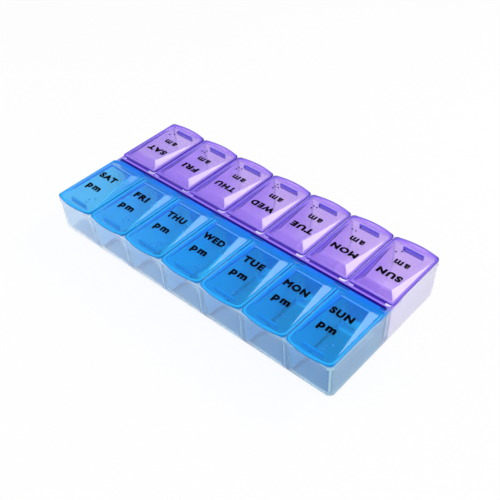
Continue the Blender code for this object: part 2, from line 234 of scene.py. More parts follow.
def slot_inside():
    """Rings down the slot between the rows."""
    rings = []
    for height, out in ((TRAY_HEIGHT, 0.2), (TRAY_HEIGHT - 0.2, 0), (TRAY_HEIGHT - SLOT_DEPTH, 0)):
        plan = rounded_rectangle(SLOT_HALF_LENGTH + out, SLOT_HALF_WIDTH + out,
                                 SLOT_CORNER + out, 3)
        rings.append(np.column_stack([plan, np.full(len(plan), height)]))
    return rings


def build_tray(material):
    """The tray as one closed skin: outside, cells, slot, and the rim face between their edges."""
    shells = [(tray_outside(), 0, -1)]
    shells += [(cell_inside(c, s), -1, 0) for s in ROWS.values() for c in range(len(DAYS))]
    shells.append((slot_inside(), -1, 0))
    vertices, faces, rims, first = [], [], [], 0
    for rings, cap, rim in shells:
        points, quads = loft(rings)
        count = len(rings[0])
        faces += [[i + first for i in quad] for quad in quads]
        start = first + (cap % len(rings)) * count
        faces.append(list(range(start, start + count)))
        start = first + (rim % len(rings)) * count
        rims.append(list(range(start, start + count)))
        vertices.append(points)
        first += len(points)
    vertices = np.concatenate(vertices)
    order = [i for rim in rims for i in rim]
    loops = [[tuple(vertices[i]) for i in rim] for rim in rims]
    faces += [[order[i] for i in triangle] for triangle in tessellate_polygon(loops)]
    new_piece("tray_moulding", vertices, faces, material, "base", ["tray"],
              sharp=12.0)


# Lids

def outline_ends(x, inset):
    """Where a line along the lid at x meets its hinge edge and its bowed front edge."""
    half = LID_HALF_WIDTH - inset
    across = np.clip(np.abs(x), 0, half)
    back_radius, front_radius = LID_HINGE_RADIUS - inset, LID_FRONT_RADIUS - inset
    back = np.clip(across - (half - back_radius), 0, back_radius)
    front = np.clip(across - (half - front_radius), 0, front_radius)
    bow = LID_BOW * (np.minimum(across, half - front_radius) / LID_HALF_WIDTH) ** 2
    hinge_end = inset + back_radius - np.sqrt(back_radius ** 2 - back ** 2)
    front_end = LID_REACH - inset - bow - front_radius + np.sqrt(front_radius ** 2 - front ** 2)
    return hinge_end, front_end


def least(a, b, soft):
    """The smaller of two heights, the crest between them rounded over a soft distance."""
    blend = np.clip(0.5 + 0.5 * (b - a) / soft, 0, 1)
    return b + (a - b) * blend - soft * blend * (1 - blend)


def pad_top(y):
    """Height of the pad's top: a straight fall from the crest by the hinge to the pad's end."""
    return PAD_HEIGHT * (PAD_END - y) / (PAD_END - PAD_START - PAD_BACK_RUN)


def pad_height(x, y, shell=0.0):
    """Height of the pad: the least of its sloping top and its three facets, eased at every crest.

    Each facet rises straight from the pad's foot over its own run, and the corners between them
    are quarter cones up to seven tenths of the height.
    """
    side = (PAD_HALF_WIDTH - shell - np.abs(x)) / PAD_SIDE_RUN
    back = (y - PAD_START - shell) / PAD_BACK_RUN
    corner = np.hypot((CONE_SHARE - side).clip(0), (CONE_SHARE - back).clip(0))
    low = (side < CONE_SHARE) & (back < CONE_SHARE)
    facets = np.where(low, CONE_SHARE - corner, least(side, back, HIP_EASE))
    return -least(-least(pad_top(y), PAD_HEIGHT * facets, CREST_EASE), 0.0, FOOT_EASE)


def lid_grid(shell):
    """Plan grid of a lid's top or of its hollow, which lies a shell inside.

    The lines along the lid bend so that one of them runs up the pad's hip and then along its
    crest, where the slopes of a facet and of the top are equal. The lines across are straight but
    for those at both ends, which are drawn out to the rounded hinge edge and the bowed front edge.
    """
    along = np.array([*HINGE_STATIONS, *np.linspace(10, 38, 13), *FRONT_STATIONS])[:, None]
    foot = PAD_HALF_WIDTH - shell
    hip = (along - PAD_START - shell) / PAD_BACK_RUN
    crest = foot - PAD_SIDE_RUN * np.minimum(hip, pad_top(along) / PAD_HEIGHT).clip(CREST_START)
    widest = foot - CREST_START * PAD_SIDE_RUN
    middle = np.array(FLAT_LINES) * (crest - FLAT_BORDER) / (widest - FLAT_BORDER)
    near = crest + np.array(CREST_LINES)
    facet = near[:, -1:] + (foot - 0.15 - near[:, -1:]) * np.array(FACET_SHARES)
    half = LID_HALF_WIDTH - LID_EDGE_ROUND
    rest = [foot + 0.12, foot + 0.4, half - 0.6, half - 0.2, half - 0.05, half]
    rest = np.broadcast_to(rest, (len(along), len(rest)))
    right = np.concatenate([middle, near, facet, rest], axis=1)
    x = np.concatenate([-right[:, :0:-1], right], axis=1)
    hinge_end, front_end = outline_ends(x, LID_EDGE_ROUND)
    low, high = 2.5, 43.2
    y = np.clip(along, low, high) - (low - hinge_end) * (1 - along / low).clip(0)
    return x, y + (front_end - high) * ((along - high) / (LID_REACH - high)).clip(0)


def lid_skin():
    """A lid's vertices and faces: its top, its underside, and the rounded edge that joins them.

    The edge follows the outline of both grids: it swells outward by a quarter round from the top,
    drops to the lower round and comes back in to the underside.
    """
    skins, borders = [], []
    for shell, level in ((0.0, LID_PLATE), (PAD_SHELL, 0.0)):
        x, y = lid_grid(shell)
        z = level + pad_height(x, y, shell)
        skin = np.stack([x, y, z], axis=-1)
        skins.append(skin.reshape(-1, 3))
        sides = [skin[0, :-1], skin[:-1, -1], skin[-1, :0:-1], skin[:0:-1, 0]]
        borders.append(np.concatenate(sides))
    rings = []
    for border, level, way in ((borders[0], LID_PLATE, -1), (borders[1], 0.0, 1)):
        tangent = np.roll(border, -1, axis=0) - np.roll(border, 1, axis=0)
        outward = np.stack([tangent[:, 1], -tangent[:, 0]], axis=-1)
        outward /= np.linalg.norm(outward, axis=1, keepdims=True)
        for turn in np.linspace(0, math.pi / 2, 5)[:: -way]:
            plan = border[:, :2] + LID_EDGE_ROUND * math.sin(turn) * outward
            height = level + way * LID_EDGE_ROUND * (1 - math.cos(turn))
            rings.append(np.column_stack([plan, np.full(len(plan), height)]))
    rows, columns = x.shape
    total = rows * columns
    rings[0], rings[-1] = borders
    edge, quads = loft(rings)
    faces = grid_faces(rows, columns) + grid_faces(rows, columns, first=total)
    faces += [[i + 2 * total for i in quad] for quad in quads]
    return np.concatenate(skins + [edge]), faces


def on_lid(points, row, column):
    """Moves points from the lid's own axes, hinge edge at zero, to its place in the frame."""
    side = ROWS[row]
    place = np.array([(column - 3) * PITCH, side * HINGE_EDGE, LID_SEAT])
    return points * [side, side, 1] + place


def latch_bar():
    """The latch bar below a lid: plan outlines with round corners, drawn in at its lower edge."""
    middle = (BAR_BACK + BAR_FRONT) / 2
    low, rings = -BAR_DEPTH, []
    for height, inset in ((0.1, 0), (low + 0.4, 0), (low + 0.1, 0.1), (low, 0.35)):
        half_y = (BAR_FRONT - BAR_BACK) / 2 - inset
        plan = rounded_rectangle(BAR_HALF_LENGTH - inset, half_y, BAR_END_RADIUS - inset, 4)
        rings.append(np.column_stack([plan + [0, middle], np.full(len(plan), height)]))
    points, faces = loft(rings)
    count = len(rings[0])
    return points, faces + [list(range(count)), list(range(3 * count, 4 * count))]


def build_lids(materials):
    """Fourteen lids, each riding on its own body with its latch bar."""
    shapes = {"shell": lid_skin(), "latch_bar": latch_bar()}
    for row in ROWS:
        finishes = {"shell": materials[row], "latch_bar": materials[row + "_bar"]}
        for column, day in enumerate(DAYS):
            node = f"{row}_lid_{day}"
            for part, (points, faces) in shapes.items():
                new_piece(f"{node}_{part}", on_lid(points, row, column), faces, finishes[part],
                          node, [node])


# Hinges

def drawn_out(section, low, high, ease=0.1):
    """A closed cross-section in Y and Z carried along X, drawn in a little at both ends."""
    middle = section.mean(axis=0)
    rings = []
    for x, draw in ((low, ease), (low + ease, 0), (high - ease, 0), (high, ease)):
        reach = np.linalg.norm(section - middle, axis=1, keepdims=True)
        ring = section + draw * (middle - section) / reach
        rings.append(np.column_stack([np.full(len(ring), x), ring]))
    points, faces = loft(rings)
    count = len(section)
    return points, faces + [list(range(count)), list(range(3 * count, 4 * count))]


def build_spines(materials):
    """The spine of each row, with a bead along its top where the webs start, and its seven tongues.

    A tongue goes down from the spine to the slot's floor beside every cell.
    """
    top, bottom = HINGE_HEIGHT, HINGE_HEIGHT - SPINE_DEPTH
    low, high, under = SPINE_INNER, SPINE_OUTER, top - WEB_THICKNESS
    lip = high + BEAD_REACH
    section = [(low, top - 0.15), (low, bottom + 0.3), (low + 0.25, bottom), (high - 0.25, bottom)]
    section += [(high, bottom + 0.3), (high, under - 0.1), (high + 0.1, under), (lip - 0.1, under)]
    section += [(lip, top - 0.4), (lip, top - 0.12), (lip - 0.12, top), (low + 0.15, top)]
    points, faces = drawn_out(np.array(section), -STRIP_HALF_LENGTH, STRIP_HALF_LENGTH, 0.06)
    foot = top - TONGUE_DEPTH
    section = [(low, bottom), (low, foot + 0.3), (low + 0.25, foot)]
    section += [(high - 0.25, foot), (high, foot + 0.3), (high, bottom)]
    blade, sides = drawn_out(np.array(section), -TONGUE_HALF_WIDTH, TONGUE_HALF_WIDTH)
    places = [[(column - 3) * PITCH, 0, -0.01] for column in range(len(DAYS))]
    tongues = np.concatenate([blade + place for place in places])
    sides = [[i + count * len(blade) for i in face] for count in range(len(DAYS)) for face in sides]
    for row, side in ROWS.items():
        strip = [row + "_hinge_strip"]
        new_piece(row + "_hinge_spine", points * [side, side, 1], faces, materials[row + "_spine"],
                  "base", strip)
        new_piece(row + "_hinge_tongues", tongues * [side, side, 1], sides,
                  materials[row + "_tongues"], "base", strip)


def build_webs(materials):
    """A web to each lid, with a groove along the hinge line.

    Its top dips by a cosine bell to the neck's thickness halfway between the row wall and the lid.
    """
    line = (ROW_WALL_FACE + HINGE_EDGE) / 2
    y = np.concatenate([[WEB_START, 1.6, 2.0], np.linspace(2.25, 3.45, 17), [3.8, WEB_END]])
    bell = 0.5 + 0.5 * np.cos(np.clip((y - line) / WEB_NECK_REACH, -1, 1) * math.pi)
    top = np.column_stack([y, HINGE_HEIGHT - (WEB_THICKNESS - WEB_NECK) * bell])
    bottom = np.column_stack([y[::-1], np.full(len(y), HINGE_HEIGHT - WEB_THICKNESS)])
    points, faces = drawn_out(np.concatenate([top, bottom]), -WEB_HALF_WIDTH, WEB_HALF_WIDTH)
    for row, side in ROWS.items():
        for column, day in enumerate(DAYS):
            place = [(column - 3) * PITCH, 0, 0]
            web = new_piece(f"{row}_web_{day}", points * [side, side, 1] + place, faces,
                            materials[row + "_web"])
            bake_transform(web)


# Print and raised dots

def printed_word(name, word, bold, row, column, place, material):
    """A word in bold letters: a film of ink on the pad's slope, its strokes swelled all round."""
    curve = bpy.data.curves.new(name, "FONT")
    curve.body = word
    curve.bevel_depth, curve.bevel_resolution = bold, 1
    curve.space_character = DAY_SPACING if word.isupper() else TIME_SPACING
    curve.resolution_u = 6
    letters = bpy.data.objects.new(name + "_letters", curve)
    bpy.context.scene.collection.objects.link(letters)
    depsgraph = bpy.context.evaluated_depsgraph_get()
    flat = bpy.data.meshes.new_from_object(letters.evaluated_get(depsgraph))
    bpy.data.objects.remove(letters, do_unlink=True)
    points = np.empty(len(flat.vertices) * 3)
    flat.vertices.foreach_get("co", points)
    points = points.reshape(-1, 3)
    low, high = points.min(axis=0), points.max(axis=0)
    size = np.array([*WORD_SIZES[word], INK_THICKNESS]) * [WORD_SHARE[row], WORD_SHARE[row], 1]
    points = (points - (low + high) / 2) * size / (high - low) * [-1, -1, 1] + [*place, 0]
    points[:, 2] += INK_THICKNESS / 2 + LID_PLATE + pad_height(points[:, 0], points[:, 1])
    faces = [list(face.vertices) for face in flat.polygons]
    new_piece(name, on_lid(points, row, column), faces, material, f"{row}_lid_{DAYS[column]}")


def dome():
    """A small dome: the radius and height of its rings follow a quarter ellipse."""
    turns = np.linspace(0, math.pi / 2, DOT_RINGS)[:-1]
    around = np.linspace(0, 2 * math.pi, DOT_SIDES, endpoint=False)
    radius = DOT_RADIUS * np.append(1.0, np.cos(turns))[:, None]
    height = np.append(-DOT_ROOT, DOT_HEIGHT * np.sin(turns))[:, None]
    x, y = radius * np.cos(around), radius * np.sin(around)
    grid = np.stack([x, y, height + 0 * around], axis=-1)
    points = np.concatenate([grid.reshape(-1, 3), [[0, 0, DOT_HEIGHT]]])
    last, count = (DOT_RINGS - 1) * DOT_SIDES, DOT_SIDES
    faces = grid_faces(DOT_RINGS, count, around=True) + [list(range(count))]
    faces += [[last + i, last + (i + 1) % count, last + count] for i in range(count)]
    return points, faces


def build_print_and_dots(materials):
    """On every lid the day, its half of the day, and the day's raised initial."""
    shape, skin = dome()
    for row in ROWS:
        for column, day in enumerate(DAYS):
            printed_word(f"{row}_{day}_day_print", day.upper(), DAY_BOLD, row, column,
                         DAY_PLACES[row], materials["ink"])
            printed_word(f"{row}_{day}_time_print", row, TIME_BOLD[row], row, column,
                         TIME_PLACES[row], materials["ink"])
            points, faces = [], []
            for count, dot in enumerate(RAISED_DOTS[day[0]]):
                right, down = divmod(dot - 1, 3)
                x, y = DOT_LEFT - right * DOT_SPACING, DOT_TOP + down * DOT_SPACING
                lift = LID_PLATE + float(pad_height(np.array(x), np.array(y)))
                points.append(shape + [x, y, lift])
                faces += [[i + count * len(shape) for i in face] for face in skin]
            points = on_lid(np.concatenate(points), row, column)
            new_piece(f"{row}_{day}_reading_dots", points, faces, materials[row + "_dots"],
                      f"{row}_lid_{day}")


# Materials

def linear(code):
    """An sRGB hex code as linear red, green, blue and alpha."""
    shades = np.array([int(code[i:i + 2], 16) for i in (1, 3, 5)]) / 255
    shades = np.where(shades <= 0.04045, shades / 12.92, ((shades + 0.055) / 1.055) ** 2.4)
    return (*shades.tolist(), 1.0)


def add(tree, kind, inputs=None, **settings):
    """Adds a node with its settings; each input is a value, or a socket to link from."""
    node = tree.nodes.new(kind)
    for name, value in settings.items():
        setattr(node, name, value)
    for name, value in (inputs or {}).items():
        if isinstance(value, bpy.types.NodeSocket):
            tree.links.new(value, node.inputs[name])
        else:
            node.inputs[name].default_value = value
    return node


def start_material(name):
    """An empty node material and its Object coordinates, which are metres in the frame's axes."""
    material = bpy.data.materials.new(name)
    material.use_nodes = True
    tree = material.node_tree
    tree.nodes.clear()
    return material, tree, add(tree, "ShaderNodeTexCoord").outputs["Object"]


def measured(tree, place, steps):
    """Lengths in millimetres that tell where a place is, worked out step by step.

    They start from "along", "aside" and "up", which are X, Y and Z. Each step is a new name, an
    operation, and its values: numbers, or names of earlier lengths.
    """
    millimetres = add(tree, "ShaderNodeVectorMath", {0: place, 1: (1000, 1000, 1000)},
                      operation="MULTIPLY")
    part = add(tree, "ShaderNodeSeparateXYZ", {"Vector": millimetres.outputs[0]}).outputs
    lengths = {"along": part["X"], "aside": part["Y"], "up": part["Z"]}
    for name, operation, *values in steps:
        inputs = {i: lengths.get(value, value) for i, value in enumerate(values)}
        lengths[name] = add(tree, "ShaderNodeMath", inputs, operation=operation).outputs[0]
    return lengths


def paint_lid_light(tree, lengths, colour):
    """Painted light on the tray: the light of the lids over it, multiplied on its colour.

    Blue turns to lavender over the hinges. The blue deepens to the right as painted shade and the
    lavender pales a little, and the rim near the hinges has strong painted tints of its own.
    """
    shares = []
    for which, low, high in PAINTED_LID_LIGHT_SPANS:
        shares.append(add(tree, "ShaderNodeMapRange", {
            "Value": lengths[which], "From Min": low, "From Max": high}).outputs[0])
    right, row, top, near = shares
    rim = add(tree, "ShaderNodeMath", {0: top, 1: near}, operation="MULTIPLY").outputs[0]
    tints = []
    for left_tint, right_tint, rim_tint in PAINTED_LID_LIGHT_TINTS:
        tint = add(tree, "ShaderNodeMix", {"Factor": right, 6: linear(left_tint),
                                           7: linear(right_tint)}, data_type="RGBA").outputs[2]
        tints.append(add(tree, "ShaderNodeMix", {"Factor": rim, 6: tint, 7: linear(rim_tint)},
                         data_type="RGBA").outputs[2])
    tint = add(tree, "ShaderNodeMix", {"Factor": row, 6: tints[0], 7: tints[1]},
               data_type="RGBA").outputs[2]
    return add(tree, "ShaderNodeMix", {"Factor": 1.0, 6: colour, 7: tint}, data_type="RGBA",
               blend_type="MULTIPLY").outputs[2]


# Sizes of the patterns, in metres
FLOW_SIZE, SPARK_SIZE, INK_SIZE, FIBRE_SIZE = 0.014, 0.0008, 0.0012, 0.0015

# First steps for every piece: the distances from the column's middle line and from the line
# between the rows
PLACE_STEPS = (
    ("signed", "WRAP", "along", PITCH / 2, -PITCH / 2),
    ("across", "ABSOLUTE", "signed"),
    ("off", "ABSOLUTE", "aside"))


def polypropylene(name, skin, haze, passing, clear, gloss, depth=None, zones=(),
                  steps=PLACE_STEPS, painted_lid_light=False, sheen=0.5, grain=0.03):
    """Injection-moulded polypropylene: light passes it tinted, with a share scattered as haze.

    Depth is the colour and density of what it takes out on the way, so that thick places and edges
    are deeper. A zone is a length from the steps, its values where the zone begins and is full, and
    the colour and clearness there. Haze drifts over about 14 mm, as the melt flowed, and is a
    little duller where it is strongest. The tool's fine spark-eroded grain, 0.25 mm in the steel,
    is drawn at 0.8 mm so that it shows. Shadow rays are let through tinted, so light reaches what
    lies under the plastic.
    """
    material, tree, place = start_material(name)
    flow = add(tree, "ShaderNodeTexNoise", {
        "Vector": place, "Scale": 1 / FLOW_SIZE, "Detail": 3.0, "Roughness": 0.55})
    drift = add(tree, "ShaderNodeMapRange", {
        "Value": flow.outputs["Fac"], "From Min": 0.35, "From Max": 0.7}).outputs["Result"]
    colour = add(tree, "ShaderNodeMix", {"Factor": drift, 6: linear(skin), 7: linear(haze)},
                 data_type="RGBA").outputs[2]
    lengths = measured(tree, place, steps) if zones else None
    for which, low, high, shade, share in zones:
        within = add(tree, "ShaderNodeMapRange", {
            "Value": lengths[which], "From Min": low, "From Max": high}).outputs[0]
        colour = add(tree, "ShaderNodeMix", {"Factor": within, 6: colour, 7: linear(shade)},
                     data_type="RGBA").outputs[2]
        clear = add(tree, "ShaderNodeMix", {"Factor": within, 2: clear, 3: share}).outputs[0]
    # Paints the blue and lavender light of the lids onto the tray's colour
    if painted_lid_light:
        colour = paint_lid_light(tree, lengths, colour)
    dull = add(tree, "ShaderNodeMapRange", {
        "Value": drift, "To Min": gloss, "To Max": gloss + 0.06})
    spark = add(tree, "ShaderNodeTexNoise", {
        "Vector": place, "Scale": 1 / SPARK_SIZE, "Detail": 2.0})
    bump = add(tree, "ShaderNodeBump", {
        "Height": spark.outputs["Fac"], "Strength": grain, "Distance": 0.00004})
    shader = add(tree, "ShaderNodeBsdfPrincipled", {
        "Base Color": colour, "Roughness": dull.outputs["Result"], "IOR": 1.49,
        "Transmission Weight": clear, "Specular IOR Level": sheen,
        "Normal": bump.outputs["Normal"]})
    passed = add(tree, "ShaderNodeBsdfTransparent", {"Color": linear(passing)})
    rays = add(tree, "ShaderNodeLightPath")
    mixed = add(tree, "ShaderNodeMixShader", {
        0: rays.outputs["Is Shadow Ray"], 1: shader.outputs["BSDF"], 2: passed.outputs["BSDF"]})
    output = add(tree, "ShaderNodeOutputMaterial", {"Surface": mixed.outputs["Shader"]})
    if depth:
        taken = add(tree, "ShaderNodeVolumeAbsorption", {
            "Color": linear(depth[0]), "Density": depth[1]})
        tree.links.new(taken.outputs["Volume"], output.inputs["Volume"])
    return material


def pad_print_ink(name):
    """Pad-printed black ink: a matte film, a little greyer where the pad laid it on thin."""
    material, tree, place = start_material(name)
    cover = add(tree, "ShaderNodeTexNoise", {
        "Vector": place, "Scale": 1 / INK_SIZE, "Detail": 3.0}).outputs["Fac"]
    thin = add(tree, "ShaderNodeMapRange", {"Value": cover, "From Min": 0.45, "From Max": 0.8})
    colour = add(tree, "ShaderNodeMix", {
        "Factor": thin.outputs["Result"], 6: linear("#020204"), 7: linear("#08080C")},
        data_type="RGBA").outputs[2]
    bump = add(tree, "ShaderNodeBump", {"Height": cover, "Strength": 0.15, "Distance": 0.00003})
    shader = add(tree, "ShaderNodeBsdfPrincipled", {
        "Base Color": colour, "Roughness": 0.6, "IOR": 1.45, "Specular IOR Level": 0.05,
        "Normal": bump.outputs["Normal"]})
    add(tree, "ShaderNodeOutputMaterial", {"Surface": shader.outputs["BSDF"]})
    return material


def studio_paper(name):
    """White seamless paper: it shows as white to the eye, in gloss and through clear plastic.

    Most of the white that the eye and gloss see is its own, and a fifth of what clear plastic
    passes. The rest is the light that falls on it, so shadows stay on it. Its fibres, about
    0.3 mm, are drawn at 1.5 mm.
    """
    material, tree, place = start_material(name)
    fibres = add(tree, "ShaderNodeTexNoise", {
        "Vector": place, "Scale": 1 / FIBRE_SIZE, "Detail": 4.0})
    bump = add(tree, "ShaderNodeBump", {
        "Height": fibres.outputs["Fac"], "Strength": 0.05, "Distance": 0.00005})
    paper = add(tree, "ShaderNodeBsdfDiffuse", {
        "Color": linear("#F4F4F4"), "Normal": bump.outputs["Normal"]})
    rays = add(tree, "ShaderNodeLightPath").outputs
    direct = add(tree, "ShaderNodeMath", {0: rays["Is Camera Ray"], 1: rays["Is Glossy Ray"]},
                 operation="MAXIMUM")
    direct = add(tree, "ShaderNodeMath", {0: direct.outputs["Value"], 1: PAPER_SHARE},
                 operation="MULTIPLY")
    behind = add(tree, "ShaderNodeMath", {0: rays["Is Transmission Ray"], 1: PAPER_BEHIND_SHARE},
                 operation="MULTIPLY")
    share = add(tree, "ShaderNodeMath", {0: direct.outputs["Value"], 1: behind.outputs["Value"]},
                operation="MAXIMUM")
    white = add(tree, "ShaderNodeEmission", {"Color": linear("#FFFFFF"), "Strength": 1.0})
    mixed = add(tree, "ShaderNodeMixShader", {
        0: share.outputs["Value"], 1: paper.outputs["BSDF"], 2: white.outputs["Emission"]})
    add(tree, "ShaderNodeOutputMaterial", {"Surface": mixed.outputs["Shader"]})
    return material


# Shades of the tray by place, painted light and shade among them

# Inner faces of the outer walls at the foot, where a cell's side is still straight, and the sum
# of X and Y in the middle of an outer corner's round
WALL_DRAWN_IN = BAND_PROUD + WALL + DRAFT_SHARE * TRAY_HEIGHT
END_FACE, LONG_FACE = TRAY_LENGTH / 2 - WALL_DRAWN_IN, TRAY_WIDTH / 2 - WALL_DRAWN_IN
CELL_STRAIGHT = TRAY_WIDTH / 2 - BAND_PROUD - WALL - CELL_CORNER
CORNER_SUM = (TRAY_LENGTH + TRAY_WIDTH) / 2 - 2 * BAND_PROUD - (2 - math.sqrt(2)) * TRAY_CORNER

SEAM_HALF_WIDTH, PARTITION_START, WALL_SKIN, CORNER_HIGHLIGHT_WIDTH = 0.6, 13.7, 0.2, 0.09
RIM_HIGHLIGHT_DEPTH, RIM_HIGHLIGHT_REACH, SHADED_FLOOR_TOP = 0.3, 10.0, 5.0
FRONT_HALF_START, CELL_START, RIGHT_CELLS_START = 25.0, 5.0, 15.0

TRAY_STEPS = (
    *PLACE_STEPS,
    # Within the end walls and the long walls
    ("reach", "ABSOLUTE", "along"),
    ("end", "SUBTRACT", "reach", END_FACE),
    ("long", "SUBTRACT", "off", LONG_FACE),
    ("inside", "SUBTRACT", LONG_FACE - WALL_SKIN, "off"),
    # Within the partitions, and within the seams where they meet the long walls, which are given a
    # painted highlight
    ("by_partition", "SUBTRACT", "across", PARTITION_START),
    ("partition", "MINIMUM", "by_partition", "inside"),
    ("past_straight", "SUBTRACT", "off", CELL_STRAIGHT),
    ("by_seam", "SUBTRACT", "across", PITCH / 2 - SEAM_HALF_WIDTH),
    ("seam_highlight", "MINIMUM", "past_straight", "by_seam"),
    # Within the painted highlight down an outer corner, whose draft is taken out
    ("both", "ADD", "reach", "off"),
    ("draft", "MULTIPLY_ADD", "up", -2 * DRAFT_SHARE, 2 * DRAFT_SHARE * TRAY_HEIGHT),
    ("upright", "ADD", "both", "draft"),
    ("corner", "SUBTRACT", "upright", CORNER_SUM - CORNER_HIGHLIGHT_WIDTH),
    # Within the top of the row walls, which has a painted highlight
    ("by_top", "SUBTRACT", "up", TRAY_HEIGHT - RIM_HIGHLIGHT_DEPTH),
    ("by_row_wall", "SUBTRACT", RIM_HIGHLIGHT_REACH, "off"),
    ("rim", "MINIMUM", "by_top", "by_row_wall"),
    # Within the floor of the evening cells, where shade is painted: its front half, or all of it in
    # the three at the right
    ("ahead", "MULTIPLY", "aside", -1.0),
    ("front_half", "SUBTRACT", "ahead", FRONT_HALF_START),
    ("whole_cell", "SUBTRACT", "ahead", CELL_START),
    ("right_cells", "SUBTRACT", "along", RIGHT_CELLS_START),
    ("whole_right", "MINIMUM", "right_cells", "whole_cell"),
    ("shaded_part", "MAXIMUM", "front_half", "whole_right"),
    ("by_floor", "SUBTRACT", SHADED_FLOOR_TOP, "up"),
    ("floor_inside", "MINIMUM", "by_floor", "inside"),
    ("floor", "MINIMUM", "shaded_part", "floor_inside"))

TRAY_ZONES = (
    # Long walls the clearest, hazy partitions, end walls between the two
    ("long", -0.1, 0.1, "#FAFEFF", 0.92),
    ("partition", -0.2, 0.2, "#FFFFFF", 0.2),
    ("end", -0.2, 0.0, "#F2F6FC", 0.72),
    # Pale seams, a painted highlight, and the floor deeper with painted shade
    ("seam_highlight", -0.1, 0.1, "#FFFFFF", 0.72),
    # Painted shade: the evening cells' floor darker and bluer
    ("floor", -0.1, 0.1, "#90B4D6", 0.86),
    # The rim band, and painted highlights: along the band's top edge, down each corner and on the
    # row walls' top
    ("up", 28.6, 28.9, "#F0F8FF", 0.7),
    ("up", 30.4, 30.55, "#FFFFFF", 0.3),
    # Painted highlight down each outer corner
    ("corner", -0.05, 0.05, "#FFFFFF", 0.1),
    ("rim", -0.1, 0.1, "#FFFFFF", 0.35))

# Painted light from the evening and the morning lids: its tints at the left, at the right, where
# the blue deepens as painted shade, and on the rim. Their spans, each a length with its values at
# both ends, give the share of right, of morning, of the rim's height and of the nearness to the
# hinges
PAINTED_LID_LIGHT_TINTS = (("#F4FAFC", "#B2DAEC", "#3CA8FF"), ("#F4F2FA", "#FCF6FC", "#B896FA"))
PAINTED_LID_LIGHT_SPANS = (("along", -105.0, 105.0), ("aside", -3.0, 3.0), ("up", 30.7, 30.9),
               ("off", 14.0, 8.0))


# Shades of the lids by place, painted light and shade among them

CREST_HIGHLIGHT_HALF_WIDTH = 0.2
SIDE_FALL = PAD_SIDE_RUN / (PAD_END - PAD_START - PAD_BACK_RUN)
HIP_TURN = PAD_SIDE_RUN / PAD_BACK_RUN

LID_STEPS = (
    *PLACE_STEPS,
    # Within the outline: the least of the distances to the sides and to the bowed front, eased
    # where they meet as the corners are round, and to the hinge edge
    ("square", "MULTIPLY", "across", "across"),
    ("bow", "MULTIPLY_ADD", "square", -LID_BOW / LID_HALF_WIDTH ** 2, HINGE_EDGE + LID_REACH),
    ("from_front", "SUBTRACT", "bow", "off"),
    ("from_side", "SUBTRACT", LID_HALF_WIDTH, "across"),
    ("edge", "SMOOTH_MIN", "from_front", "from_side", 2 * LID_FRONT_RADIUS),
    ("from_hinge", "SUBTRACT", "off", HINGE_EDGE),
    ("outline", "MINIMUM", "edge", "from_hinge"),
    # Within the back facet: the least of the distances from its foot, its crest and its hips
    ("rise", "SUBTRACT", "from_hinge", PAD_START),
    ("to_crest", "SUBTRACT", PAD_START + PAD_BACK_RUN, "from_hinge"),
    ("foot_or_crest", "MINIMUM", "rise", "to_crest"),
    ("hips", "MULTIPLY_ADD", "across", -1 / HIP_TURN, PAD_HALF_WIDTH / HIP_TURN),
    ("to_hips", "SUBTRACT", "hips", "rise"),
    ("back", "MINIMUM", "foot_or_crest", "to_hips"),
    # Within the painted highlight along that facet's crest
    ("off_crest", "ABSOLUTE", "to_crest"),
    ("by_crest", "SUBTRACT", CREST_HIGHLIGHT_HALF_WIDTH, "off_crest"),
    ("between_hips", "SUBTRACT", PAD_HALF_WIDTH - PAD_SIDE_RUN, "across"),
    ("crest_highlight", "MINIMUM", "by_crest", "between_hips"),
    # Within the side facets: from the foot, and from the crest or the hip, the nearer of them
    ("crest_run", "MULTIPLY_ADD", "from_hinge", -SIDE_FALL, PAD_END * SIDE_FALL),
    ("hip_run", "MULTIPLY_ADD", "from_hinge", HIP_TURN, -PAD_START * HIP_TURN),
    ("run", "MINIMUM", "crest_run", "hip_run"),
    ("left_foot", "ADD", "signed", PAD_HALF_WIDTH),
    ("left_crest", "SUBTRACT", "run", "left_foot"),
    ("left", "MINIMUM", "left_foot", "left_crest"),
    ("right_foot", "SUBTRACT", PAD_HALF_WIDTH, "signed"),
    ("right_crest", "SUBTRACT", "run", "right_foot"),
    ("right", "MINIMUM", "right_foot", "right_crest"))

BLUE_ZONES = (
    # Paler towards the left end, a painted reflection of a soft lamp
    ("along", -10.0, -90.0, "#98E4FF", 0.9),
    # The border's step and the fine line of the outline
    ("outline", 1.42, 1.18, "#34C4FF", 0.35),
    ("outline", 0.36, 0.16, "#0898D0", 0.35),
    # The strip by the hinge; the facets, with painted shade on the left and back ones and a painted
    # highlight on the right ones; and the painted highlight along the back facet's crest
    ("off", 5.4, 5.1, "#0C98EC", 0.4),
    ("left", -0.1, 0.2, "#18B0FF", 0.5),
    ("right", -0.1, 0.2, "#50C0F6", 0.5),
    ("back", -0.1, 0.2, "#08A4F0", 0.45),
    ("crest_highlight", -0.1, 0.1, "#70DCFF", 0.25))

VIOLET_ZONES = (
    # The border's step and the dark line of the outline
    ("outline", 1.42, 1.18, "#A58CF4", 0.6),
    ("outline", 0.36, 0.16, "#4C28B4", 0.4),
    # Painted shade and highlight on the facets: dark on the left, light on the right, the back
    # between
    # Painted shade on the left facets, painted highlight on the right ones
    ("left", -0.1, 0.2, "#7C58E4", 0.5),
    ("right", -0.1, 0.2, "#EADCFD", 0.5),
    ("back", -0.1, 0.2, "#C2A6F0", 0.75))


# Studio

# White of the paper that is its own: to the eye and gloss, and through clear plastic
PAPER_SHARE, PAPER_BEHIND_SHARE = 0.9, 0.2
PAPER_HALF_WIDTH, PAPER_LINES, PAPER_DROP = 2600, 53, 0.05
COVE_START, COVE_RISE = 1800, 0.6
WORLD_LEVEL, WORLD_IN_GLOSS = 0.5, 0.25

